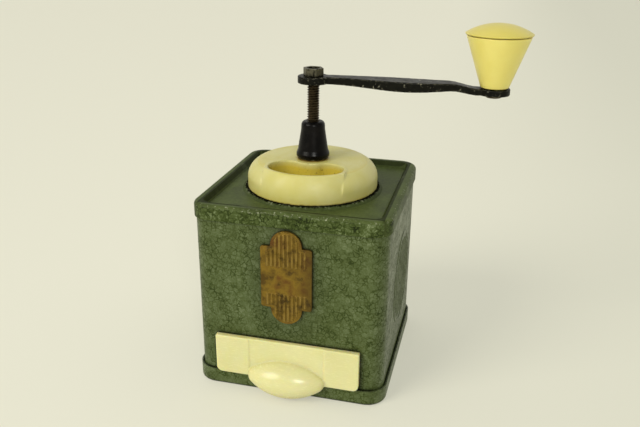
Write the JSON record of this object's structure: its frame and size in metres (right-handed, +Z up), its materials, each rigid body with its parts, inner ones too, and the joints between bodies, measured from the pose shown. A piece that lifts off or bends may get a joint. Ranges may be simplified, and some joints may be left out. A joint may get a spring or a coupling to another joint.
{
  "type": "manual coffee grinder",
  "caption": "Hand-cranked box coffee mill: square sheet-steel box, moulded dome hopper with bean mouth, top crank with cone knob, grind-adjusting nut and front grounds drawer.",
  "frame": {"origin": "middle of the base's underside, on the table", "axes": "+Z up along the spindle, -Y out of the drawer's front, +X towards the crank at rest"},
  "size_m": [0.1561, 0.1122, 0.1836],
  "materials": {
    "hammer_green": "hammered enamel",
    "cap_green": "smooth enamel",
    "cream_plastic": "gloss",
    "dome_plastic": "gloss",
    "knob_plastic": "gloss",
    "black_bakelite": "gloss",
    "black_enamel": "worn enamel",
    "dark_steel": "oxidised",
    "grey_steel": "satin",
    "tinned_steel": "satin",
    "cast_iron": "as cast",
    "bush_brass": "machined",
    "badge_brass": "aged"
  },
  "bodies": {
    "housing": {"base_plate": "hammer_green", "body_shell": "hammer_green", "top_cap": "cap_green", "badge": "badge_brass", "hopper_dome": "dome_plastic", "dome_screws": "grey_steel", "hopper_bowl": "tinned_steel", "upper_bush": "bush_brass", "burr_ring": "cast_iron", "lower_bridge": "cast_iron", "lower_bush": "bush_brass", "burr_bolts": "grey_steel", "burr_bolt_nuts": "grey_steel", "drawer_rails": "tinned_steel"},
    "thrust_washer": {"key_washer": "grey_steel"},
    "spindle": {"shaft": "dark_steel", "crank_arm": "black_enamel", "crank_nut": "grey_steel", "knob_pin": "dark_steel", "burr_cone": "cast_iron", "burr_lower_nut": "grey_steel", "burr_spring": "grey_steel"},
    "adjuster": {"adjusting_nut": "black_bakelite", "nut_insert": "bush_brass"},
    "knob": {"knob_body": "knob_plastic", "knob_cap": "knob_plastic"},
    "drawer": {"drawer_front": "cream_plastic", "drawer_tray": "tinned_steel", "drawer_screws": "grey_steel"}
  },
  "joints": [
    {"name": "crank_turn", "type": "hinge", "parent": "housing", "child": "thrust_washer", "pos_m": [0, 0, 0.115], "axis": [0, 0, 1], "continuous": true},
    {"name": "burr_lift", "type": "slide", "parent": "thrust_washer", "child": "spindle", "axis": [0, 0, 1], "range_m": [0, 0.00127], "deforming": ["burr_spring"]},
    {"name": "adjuster_turn", "type": "hinge", "parent": "thrust_washer", "child": "adjuster", "pos_m": [0, 0, 0.115], "axis": [0, 0, -1], "range_deg": [0, 360]},
    {"name": "knob_spin", "type": "hinge", "parent": "spindle", "child": "knob", "pos_m": [0.08901, 0.01892, 0.164], "axis": [0, 0, 1], "continuous": true},
    {"name": "drawer_slide", "type": "slide", "parent": "housing", "child": "drawer", "axis": [0, -1, 0], "range_m": [0, 0.075]}
  ],
  "couplings": [
    {"joint": "adjuster_turn", "follows": "burr_lift", "rad_per_m": 4947.3}
  ]
}
